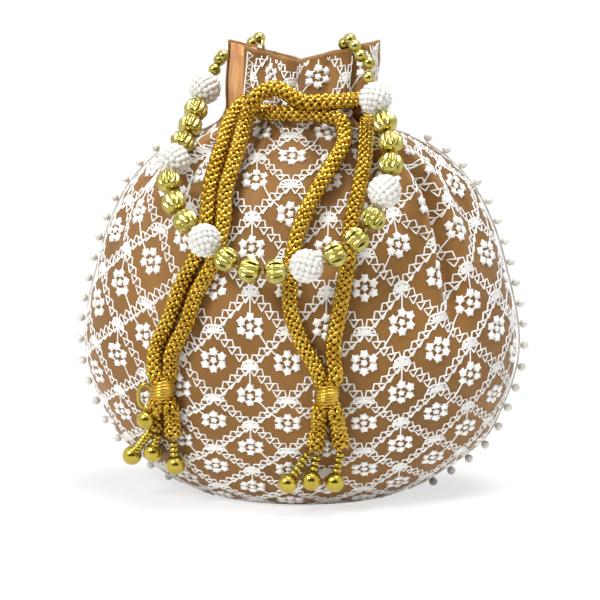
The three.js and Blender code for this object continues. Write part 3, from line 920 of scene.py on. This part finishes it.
def keptRuns(line, inside):
    runs, run = [], []
    for point, kept in zip(line, inside):
        if kept:
            run.append(point)
        elif run:
            runs.append(run)
            run = []
    if run:
        runs.append(run)
    return [np.array(r) for r in runs if len(r) > 1]


def fanLines(s, t, fan):  # spokes from the apex and the arcs over them
    wide, tall, cleft = fan
    spokes = stitch["fanSpokes"]
    first, span = stitch["fanSpan"]
    share = stitch["fanInner"]
    lines, arc = [], []
    for k in range(spokes + 1):
        turn = math.radians(first + span * k / spokes)
        reach = 1 - cleft * math.exp(-((k - spokes / 2) / stitch["cleftWidth"]) ** 2)
        tip = (s + wide * reach * math.cos(turn), t + stitch["motifTall"] * tall * reach * math.sin(turn))
        arc.append(tip)
        lines.append([(s, t), tip])
    inner = [(s + share * (a - s), t + share * (b - t)) for a, b in arc]
    return lines + [arc, inner]


def chainLines(s, t, way):  # stepped triangles down one side of a diamond
    steps = stitch["chainSteps"]
    runS = way * stitch["columnPitch"] / steps
    runT = -stitch["period"] / 2 / steps
    wide = stitch["chainWidth"] * way
    lines = []
    for k in range(steps):
        a = (s + runS * k, t + runT * k)
        corner = (a[0] + wide, a[1] + stitch["chainRise"])
        middle = (a[0] + stitch["chainMiddle"] * wide, a[1])
        foot = (s + runS * (k + stitch["chainFoot"]), t + runT * (k + 1))
        following = (s + runS * (k + 1) + stitch["chainNext"] * wide, t + runT * (k + 1))
        lines.append([foot, a, middle, corner, following])
        lines.append([middle, foot])
    if way < 0:
        lines.append([(s, t), (s + runS * steps, t + runT * steps)])
    return lines


def flowerRing(s, t):
    out = stitch["ringRadius"]
    ring = []
    for k in range(stitch["petals"] + 1):
        turn = math.radians(90 + 360 / stitch["petals"] * k)
        ring.append((s + out * math.cos(turn), t + stitch["motifTall"] * out * math.sin(turn)))
    return ring


def trellis():
    lines, stars = [], []
    for column in range(-stitch["columnsEachSide"], stitch["columnsEachSide"] + 1):
        s = stitch["firstColumn"] + column * stitch["columnPitch"]
        lower = column % 2 != 0
        for row in range(-stitch["rowsEachSide"], stitch["rowsEachSide"] + 1):
            t = stitch["flowerRow"] + row * stitch["period"] - (stitch["period"] / 2 if lower else 0)
            apex = t + stitch["apexAbove"]
            lines += fanLines(s, apex, stitch["bowFan" if lower else "domeFan"])
            lines += chainLines(s, apex, -1) + chainLines(s, apex, 1)
            ring = flowerRing(s, t)
            lines.append(ring)
            stars.append((s, t, stitch["centreStar"]))
            stars += [(*spot, 1) for spot in ring[:-1]]
            if not lower:
                lines.append([(s, apex), ring[0]])
                way = 1 if s < stitch["sprigTurns"] else -1
                lines.append([(s + way * ds, t + dt) for ds, dt in stitch["sprig"]])
    return lines, stars


def splitLong(line):
    line = np.array(line, float)
    points = [line[0]]
    for a, b in zip(line, line[1:]):
        count = max(1, int(math.ceil(math.dist(a, b) / stitch["longest"])))
        points += [a + (b - a) * k / count for k in range(1, count + 1)]
    return np.array(points)


def clearOfSlit(place, middle, margin):
    if middle != 0:
        return np.ones(len(place), bool)
    return (place[:, 0] > pouch["slitLeft"] + margin) | (place[:, 2] < pouch["slitFoot"] - 1)


def slitLace():  # a border of small triangles up the slit's cut edge
    z = np.arange(pouch["slitFoot"] + 2, pouch["rim"] + 5, stitch["slitLaceStep"])
    edge = pouch["slitLeft"] + stitch["slitLaceEdge"]
    wide = wideAt(z)
    lines = []
    for x in (edge + 0 * z, edge + stitch["slitLace"] * (np.arange(len(z)) % 2)):
        lines.append(onPanel(np.arcsin(x / wide), z, 0, stitch["lift"])[0])
    return lines


def layThreads(lines, middle):
    flats = [splitLong(line) for line in lines]
    angle, z, inside = flatToCloth(np.concatenate(flats))
    place = onPanel(angle, z, middle, stitch["lift"])[0]
    inside &= clearOfSlit(place, middle, stitch["slitLace"])
    ends = np.cumsum([len(flat) for flat in flats])[:-1]
    threads = []
    for run, kept in zip(np.split(place, ends), np.split(inside, ends)):
        threads += keptRuns(run, kept)
    if middle == 0:
        threads += slitLace()
    return threads


def layStars(stars, middle):  # each star is as wide and as tall as the pattern is where it lies
    stars = np.array(stars)
    angle, z, inside = flatToCloth(stars[:, :2])
    place, normal, across = onPanel(angle, z, middle, 0)
    inside &= clearOfSlit(place, middle, stitch["slitLace"] + stitch["starMargin"])
    besideAngle, besideZ, _ = flatToCloth(stars[:, :2] + np.array([1, 0]))
    narrow = np.linalg.norm(onPanel(besideAngle, besideZ, middle, 0)[0] - place, axis=1)
    probe = stitch["starProbe"]
    stretch = (rowUp(stars[:, 1] + probe) - rowUp(stars[:, 1] - probe)) / (2 * probe)
    matrices = []
    for k in np.flatnonzero(inside):
        up = Vector(normal[k])
        right = Vector(across[k])
        spin = Matrix((right, up.cross(right), up)).transposed().to_4x4()
        turn = Matrix.Rotation(rng.uniform(0, stitch["starTurn"]), 4, "Z")
        tall = min(1, stitch["starTall"] * stretch[k])
        wide = min(1, max(stitch["starNarrowest"], narrow[k]))
        size = Matrix.Diagonal((stars[k, 2] * wide, stars[k, 2] * tall, stars[k, 2], 1))
        matrices.append(at(place[k]) @ spin @ size @ turn)
    return matrices


def starPad(bm):  # a pointed pad of satin stitch
    tall = stitch["starHeight"] * mm
    wide = stitch["starRadius"] * mm
    points = stitch["starPoints"]
    made = bmesh.ops.create_cone(
        bm, cap_ends=True, cap_tris=True, segments=2 * points, radius1=wide,
        radius2=wide * stitch["starTop"], depth=tall)
    lift = stitch["starCrown"] * tall
    for vert in made["verts"]:
        degrees = 90 - math.degrees(math.atan2(vert.co.y, vert.co.x))
        notch = stitch["starNotch"] if int(round(degrees / (180 / points))) % 2 else 1
        crown = lift if vert.co.xy.length < sheets["weld"] else 0
        vert.co = (vert.co.x * notch, vert.co.y * notch, vert.co.z + lift + crown)


starTemplate = templateMesh(starPad)


def makeEmbroidery(name, middle):
    lines, stars = trellis()
    bm = bmesh.new()
    threadsIn(bm, layThreads(lines, middle), stitch["thread"])
    repeat(bm, starTemplate, layStars(stars, middle))
    return addPiece(name, bm, "embroidery")


frontStitch = makeEmbroidery("embroidery_front", 0)
backStitch = makeEmbroidery("embroidery_back", math.pi)
print("embroidery laid")


# beads
bead = {
    "balls": 6,
    "ball": 15.2,
    "gold": 11.4,
    "small": 6.0,
    "anchorStep": 5.5,
    "seeds": 84,
    "seedRadius": 1.6,
    "flutes": 12,
    "fluteDepth": 0.2,
    "fluteBand": (0.45, 0.72),
    "fluteSteps": 6,
    "fluteRings": 22,
    "endFlat": 0.08,
    "seedSink": 0.9,
    "seedGrid": (8, 6),
    "sides": 20,
    "rings": 12,
    "fineRings": 14,
    "anchorBeads": 5,
    "anchorThread": 0.75,
    "anchorFine": 0.3,
}


def nodeMiddle(node):
    low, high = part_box(node)
    return (low + high) / 2


handleOrder = ["handle_small_bead_01"]
for ball in range(1, bead["balls"] + 1):
    handleOrder.append("handle_pearl_ball_%02d" % ball)
    if ball < bead["balls"]:
        handleOrder += ["handle_gold_bead_%02d" % (3 * (ball - 1) + k) for k in (1, 2, 3)]
handleOrder.append("handle_small_bead_02")
handleMiddles = [nodeMiddle(node) for node in handleOrder]


def alongString(k):
    before = handleMiddles[max(0, k - 1)]
    after = handleMiddles[min(len(handleMiddles) - 1, k + 1)]
    return (after - before).normalized()


def turnTo(direction):
    return direction.to_track_quat("Z", "Y").to_matrix().to_4x4()


def sphere(bm, matrix, sides, rings, diameter):  # diameter in millimetres
    made = bmesh.ops.create_uvsphere(bm, u_segments=sides, v_segments=rings, radius=diameter / 2 * mm)
    bmesh.ops.transform(bm, matrix=matrix, verts=made["verts"])


def smoothBead(bm, matrix, diameter, rings=bead["rings"]):
    sphere(bm, matrix, bead["sides"], rings, diameter)


def flutedBead(bm, matrix):
    radius = bead["gold"] / 2 * mm
    flutes = bead["flutes"]
    made = bmesh.ops.create_uvsphere(
        bm, u_segments=flutes * bead["fluteSteps"], v_segments=bead["fluteRings"], radius=radius)
    for vert in made["verts"]:
        rise = vert.co.z / radius
        groove = 0.5 - 0.5 * math.cos(flutes * math.atan2(vert.co.y, vert.co.x))
        deep = bead["fluteDepth"] * groove * (1 - smoothstep(abs(rise), *bead["fluteBand"]))
        flat = 1 - bead["endFlat"] * rise * rise
        vert.co = (vert.co.x * (1 - deep), vert.co.y * (1 - deep), vert.co.z * flat)
    bmesh.ops.transform(bm, matrix=matrix, verts=made["verts"])


def seedPearl(bm):
    sphere(bm, Matrix.Identity(4), *bead["seedGrid"], 2 * bead["seedRadius"])


seedTemplate = templateMesh(seedPearl)


def seedBall(bm, matrix):
    reach = bead["ball"] / 2 - bead["seedRadius"] * bead["seedSink"]
    smoothBead(bm, matrix, 2 * reach)
    count = bead["seeds"]
    spots = []
    for k in range(count):
        height = 1 - 2 * (k + 0.5) / count
        turn = k * math.pi * (3 - math.sqrt(5))
        ring = math.sqrt(1 - height * height)
        spot = Vector((ring * math.cos(turn), ring * math.sin(turn), height)) * reach
        spots.append(matrix @ at(spot))
    repeat(bm, seedTemplate, spots)


for k, node in enumerate(handleOrder):
    bm = bmesh.new()
    matrix = Matrix.Translation(handleMiddles[k]) @ turnTo(alongString(k))
    if "pearl" in node:
        seedBall(bm, matrix)
        addPiece("seed_" + node, bm, "pearl", [node], "handle")
    elif "gold" in node:
        flutedBead(bm, matrix)
        addPiece("fluted_" + node, bm, "gold", [node], "handle")
    else:
        smoothBead(bm, matrix, bead["small"])
        if k == 0:
            smoothBead(bm, at(alongString(0) * -bead["anchorStep"]) @ matrix, bead["small"])
        addPiece("round_" + node, bm, "gold", [node], "handle")
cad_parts["handle_thread"].data.materials.clear()
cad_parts["handle_thread"].data.materials.append(materials["string"])

anchorRoutes = {
    "handle_anchor_left": [(-17.5, 10.9, 200), (-17.8, 9.9, 206.5), (-19.6, 12, 211.2), (-23, 15.8, 209.4),
                           (-30, 16.2, 205), (-37.2, 11.2, 203)],
    "handle_anchor_right": [(20, -7.4, 200), (20.4, -7.2, 207), (22.3, -8.8, 211.4), (25, -13, 210.5),
                            (28.4, -17, 204.9), (33, -18.9, 201)],
}
for node, route in anchorRoutes.items():
    line = evenSteps(smoothRoute(route), bead["anchorFine"])[0]
    bm = bmesh.new()
    threadsIn(bm, [line[::4]], bead["anchorThread"], 1)
    for k in range(bead["anchorBeads"]):
        spot = len(line) - 1 - int(round(k * bead["anchorStep"] / bead["anchorFine"]))
        smoothBead(bm, at(line[spot]), bead["small"])
    addPiece("strung_" + node, bm, "gold", [node])
print("handle strung")


# knots, tassels and the loop charm
tassel = {
    "ball": 9.0,
    "rondelle": 4.4,
    "rondelleThick": 2.5,
    "rondelleGrid": (16, 9),
    "thread": 1.0,
    "charmBall": 8.4,
    "charmRing": 3.2,
    "charmHang": 14.0,
    "charmIn": 2.0,
    "wraps": 7,
    "wrapWide": 4.9,
    "wrapDeep": 4.6,
    "wrapRise": 4.8,
    "wrapTaper": 0.45,
    "wrapTilt": 0.7,
    "wrapThread": 1.05,
    "wrapSteps": 40,
    "stubSize": 0.95,
    "stubEnd": 0.35,
    "strandDrop": 0.6,
    "loopWide": 3.3,
    "loopTall": 5.4,
    "loopDrop": 3.2,
    "loopThick": 1.8,
    "loopSteps": 48,
}


def makeKnot(which):  # both strands meet inside a barrel of thread that is wound round them
    wraps = tassel["wraps"]
    turns = np.linspace(0, 2 * math.pi * wraps, tassel["wrapSteps"] * wraps)
    rise = np.linspace(1, -1, len(turns))
    reach = 1 - tassel["wrapTaper"] * rise ** 2
    x = tassel["wrapWide"] * reach * np.sin(turns)
    y = -tassel["wrapDeep"] * reach * np.cos(turns)
    z = tassel["wrapRise"] * rise + tassel["wrapTilt"] * np.sin(turns)
    centre = knotCentre(which)
    bm = bmesh.new()
    threadsIn(bm, [centre + np.stack([x, y, z], axis=1)], tassel["wrapThread"], 1)
    stubs = []
    for degrees in (spread, -spread, 180 - spread, 180 + spread):
        start = knotLead(which, degrees)[0]
        end = centre + tassel["stubEnd"] * (start - centre)
        stubs += braidLines(np.linspace(start, end, 8), tassel["stubSize"])
    threadsIn(bm, stubs, cord["strandRadius"])
    return addPiece("braid_knot_" + which, bm, "braid", ["knot_" + which])


knots = {which: makeKnot(which) for which in knotsAt}

# the tail that each strand hangs from, how far aside it starts, and its ball's x, z and lift
tasselStrands = {
    "tassel_left_1": ("cord_tail_left_short", -1.8, (-75, 21, 8)),
    "tassel_left_2": ("cord_tail_left_short", 1.4, (-64, 24, 0.6)),
    "tassel_left_3": ("cord_tail_left_long", 0, (-53, 19.5, 1.6)),
    "tassel_right_1": ("cord_tail_right_long", -1.8, (-0.5, 15, 3)),
    "tassel_right_2": ("cord_tail_right_long", 1.6, (10.2, 16.5, 3)),
    "tassel_right_3": ("cord_tail_right_short", 0, (20.5, 15.5, 3)),
}
for node, (tail, across, ballAt) in tasselStrands.items():
    tailEnd = overFront(tailRoutes[tail][1][-1], cordRadius)
    start = tailEnd + np.array([across, 0, -tassel["strandDrop"]])
    end = overFront(ballAt, tassel["ball"] / 2)
    length = np.linalg.norm(end - start)
    direction = (end - start) / length
    turn = turnTo(Vector(direction))
    bm = bmesh.new()
    threadsIn(bm, [np.array([start, end])], tassel["thread"] / 2, 1)
    smoothBead(bm, at(end) @ turn, tassel["ball"], bead["fineRings"])
    thick = tassel["rondelleThick"]
    flatten = Matrix.Diagonal((1, 1, thick / tassel["rondelle"], 1))
    beadsFrom = length - tassel["ball"] / 2
    for k in range(int(beadsFrom / thick)):
        spot = start + direction * (beadsFrom - (k + 0.5) * thick)
        sphere(bm, at(spot) @ turn @ flatten, *tassel["rondelleGrid"], tassel["rondelle"])
    addPiece("beaded_" + node, bm, "tasselGold", [node])


def makeCharm():  # an oval loop of cord at the left knot, with a ball at its foot
    reach = cord["knot"] / 2 + cord["knotGap"] + tassel["charmRing"] + tassel["thread"] / 2
    centre = knotCentre("left") + np.array([tassel["charmIn"] - reach, 0, 0])
    turns = np.linspace(0, 2 * math.pi, tassel["loopSteps"])
    x = tassel["loopWide"] * np.sin(turns)
    z = -tassel["loopTall"] * np.cos(turns) - tassel["loopDrop"]
    bm = bmesh.new()
    threadsIn(bm, [centre + np.stack([x, 0 * turns, z], axis=1)], tassel["loopThick"] / 2, 2)
    foot = centre + np.array([0, 0, -tassel["charmHang"]])
    smoothBead(bm, at(foot), tassel["charmBall"], bead["fineRings"])
    return addPiece("loop_charm", bm, "tasselGold", ["tassel_loop_charm"])


charm = makeCharm()
print("tassels hung")


# pearl edging
edging = {
    "pearl": 4.0,
    "pitch": 9.5,
    "cord": 1.4,
    "threadThick": 0.9,
    "clearance": 0.7,
    "offset": 2.4,
    "foot": 6.5,
    "top": 163,
    "points": 60,
    "seamY": 1.5,
    "fine": 0.5,
    "rings": 10,
}


def makeEdging(name, side):
    z = np.linspace(edging["foot"], edging["top"], edging["points"])
    slope = (wideAt(z + 1) - wideAt(z - 1)) / 2
    out = unit(np.stack([np.ones_like(z), 0 * z, -slope], axis=1))
    wall = np.stack([wideAt(z), 0 * z + edging["seamY"], z], axis=1)
    line = wall + out * (edging["clearance"] + edging["cord"] / 2)
    line[:, 0] *= side
    steps, reach = evenSteps(line, edging["fine"])
    bm = bmesh.new()
    threadsIn(bm, [steps[::3]], edging["threadThick"] / 2, 1)
    count = int(reach[-1] / edging["pitch"])
    tangents = unit(np.gradient(steps, axis=0))
    for k in range(count + 1):
        i = int(round(k / count * (len(steps) - 1)))
        x, _, rise = tangents[i]
        away = np.array([side * abs(rise), 0, -side * x * np.sign(rise)])
        smoothBead(bm, at(steps[i] + away * edging["offset"]), edging["pearl"], edging["rings"])
    addPiece("pearl_trim_" + name, bm, "trimPearlPaintedLight", ["pearl_edging_" + name])


makeEdging("left", -1)
makeEdging("right", 1)
print("edging sewn")


print("finished")
